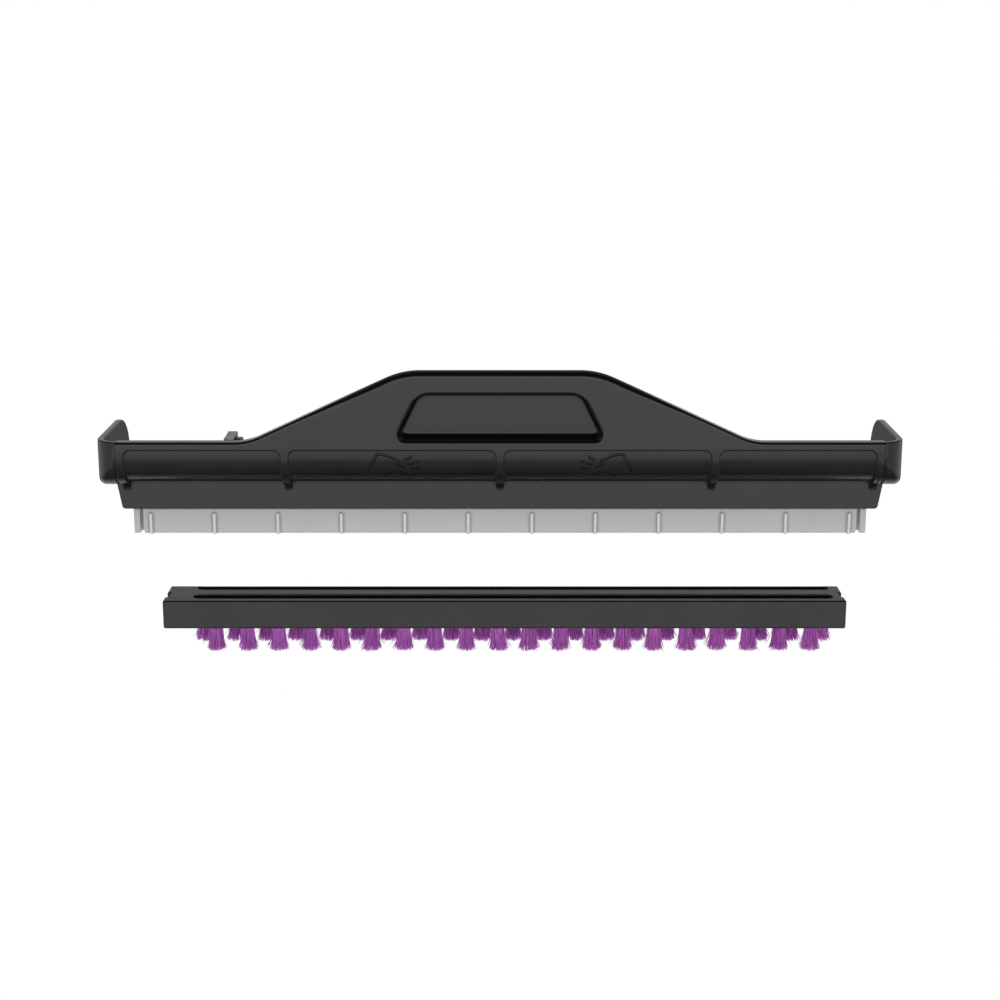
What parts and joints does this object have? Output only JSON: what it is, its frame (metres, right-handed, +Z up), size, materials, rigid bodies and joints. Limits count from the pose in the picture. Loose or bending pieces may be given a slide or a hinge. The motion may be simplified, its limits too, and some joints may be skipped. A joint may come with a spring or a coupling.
{
  "type": "floor scrubber squeegee and brush attachment",
  "caption": "Clip-on squeegee frame with a finger pocket, side arms and a spring catch, and the tufted scrub-brush strip that fits under its shelf, shown detached below it.",
  "frame": {"origin": "middle of the top face of the frame's shelf, where the cleaner's nozzle sits", "axes": "+X along the attachment's length, to the right seen from its face; +Y from its face towards its back; +Z up, square to the shelf"},
  "size_m": [0.3326, 0.064, 0.1284],
  "materials": {
    "black_plastic": "satin moulded, fine spark-eroded grain",
    "dark_plastic": "satin moulded",
    "grey_plastic": "satin moulded",
    "pale_rubber": "matt moulded elastomer",
    "steel": "zinc plated",
    "purple_bristle": "nylon filament, slight sheen"
  },
  "bodies": {
    "frame": {"frame_shell": "black_plastic", "front_squeegee": "pale_rubber", "squeegee_spacer": "dark_plastic", "rear_squeegee": "pale_rubber", "squeegee_clamp": "dark_plastic", "clamp_screw_1": "steel", "clamp_screw_2": "steel", "clamp_screw_3": "steel", "clamp_screw_4": "steel", "clamp_screw_5": "steel", "clamp_screw_6": "steel", "latch_pin": "steel", "latch_spring": "steel"},
    "latch": {"latch_lever": "grey_plastic"},
    "brush_strip": {"brush_base": "dark_plastic", "tuft_front_01": "purple_bristle", "tuft_front_02": "purple_bristle", "tuft_front_03": "purple_bristle", "tuft_front_04": "purple_bristle", "tuft_front_05": "purple_bristle", "tuft_front_06": "purple_bristle", "tuft_front_07": "purple_bristle", "tuft_front_08": "purple_bristle", "tuft_front_09": "purple_bristle", "tuft_front_10": "purple_bristle", "tuft_front_11": "purple_bristle", "tuft_front_12": "purple_bristle", "tuft_front_13": "purple_bristle", "tuft_front_14": "purple_bristle", "tuft_front_15": "purple_bristle", "tuft_front_16": "purple_bristle", "tuft_front_17": "purple_bristle", "tuft_front_18": "purple_bristle", "tuft_front_19": "purple_bristle", "tuft_front_20": "purple_bristle", "tuft_rear_01": "purple_bristle", "tuft_rear_02": "purple_bristle", "tuft_rear_03": "purple_bristle", "tuft_rear_04": "purple_bristle", "tuft_rear_05": "purple_bristle", "tuft_rear_06": "purple_bristle", "tuft_rear_07": "purple_bristle", "tuft_rear_08": "purple_bristle", "tuft_rear_09": "purple_bristle", "tuft_rear_10": "purple_bristle", "tuft_rear_11": "purple_bristle", "tuft_rear_12": "purple_bristle", "tuft_rear_13": "purple_bristle", "tuft_rear_14": "purple_bristle", "tuft_rear_15": "purple_bristle", "tuft_rear_16": "purple_bristle", "tuft_rear_17": "purple_bristle", "tuft_rear_18": "purple_bristle", "tuft_rear_19": "purple_bristle", "tuft_rear_20": "purple_bristle", "tuft_rear_21": "purple_bristle"}
  },
  "joints": [
    {"name": "latch_pivot", "type": "hinge", "parent": "frame", "child": "latch", "pos_m": [-0.11175, -0.0195, 0.0125], "axis": [1, 0, 0], "range_deg": [0, 12], "stiffness_Nm_per_rad": 0.02, "springref_deg": -8.59, "deforming": ["latch_spring"]},
    {"name": "brush_lift", "type": "slide", "parent": "frame", "child": "brush_strip", "axis": [0, 0, 1], "range_m": [0, 0.0562]}
  ]
}
